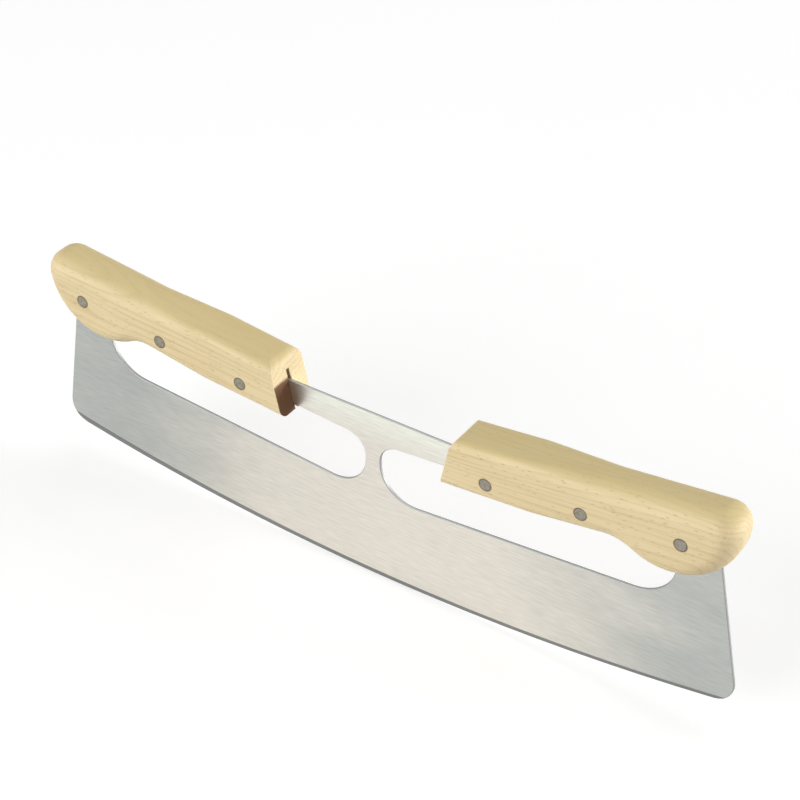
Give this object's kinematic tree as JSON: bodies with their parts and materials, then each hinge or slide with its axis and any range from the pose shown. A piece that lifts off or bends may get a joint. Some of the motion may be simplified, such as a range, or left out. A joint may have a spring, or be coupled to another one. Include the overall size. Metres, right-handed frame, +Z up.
{
  "type": "rocking pizza knife",
  "caption": "Two-handed rocking pizza knife: a long curved stainless steel blade with finger openings and riveted light wooden handles.",
  "frame": {"origin": "the lowest point of the curved cutting edge, half way through the steel sheet", "axes": "+X along the knife to the user's right, +Y through the sheet to the back, +Z up from the cutting edge to the handles"},
  "size_m": [0.3564, 0.022, 0.1154],
  "materials": {
    "blade_steel": "satin, with fine scratches",
    "handle_wood": "smooth light wood, thinly oiled",
    "rivet_metal": "ground flush, dull"
  },
  "bodies": {
    "root": {"blade": "blade_steel", "right_handle": "handle_wood", "left_handle": "handle_wood", "right_inner_rivet_male": "rivet_metal", "right_inner_rivet_female": "rivet_metal", "right_middle_rivet_male": "rivet_metal", "right_middle_rivet_female": "rivet_metal", "right_outer_rivet_male": "rivet_metal", "right_outer_rivet_female": "rivet_metal", "left_inner_rivet_male": "rivet_metal", "left_inner_rivet_female": "rivet_metal", "left_middle_rivet_male": "rivet_metal", "left_middle_rivet_female": "rivet_metal", "left_outer_rivet_male": "rivet_metal", "left_outer_rivet_female": "rivet_metal"}
  },
  "joints": []
}
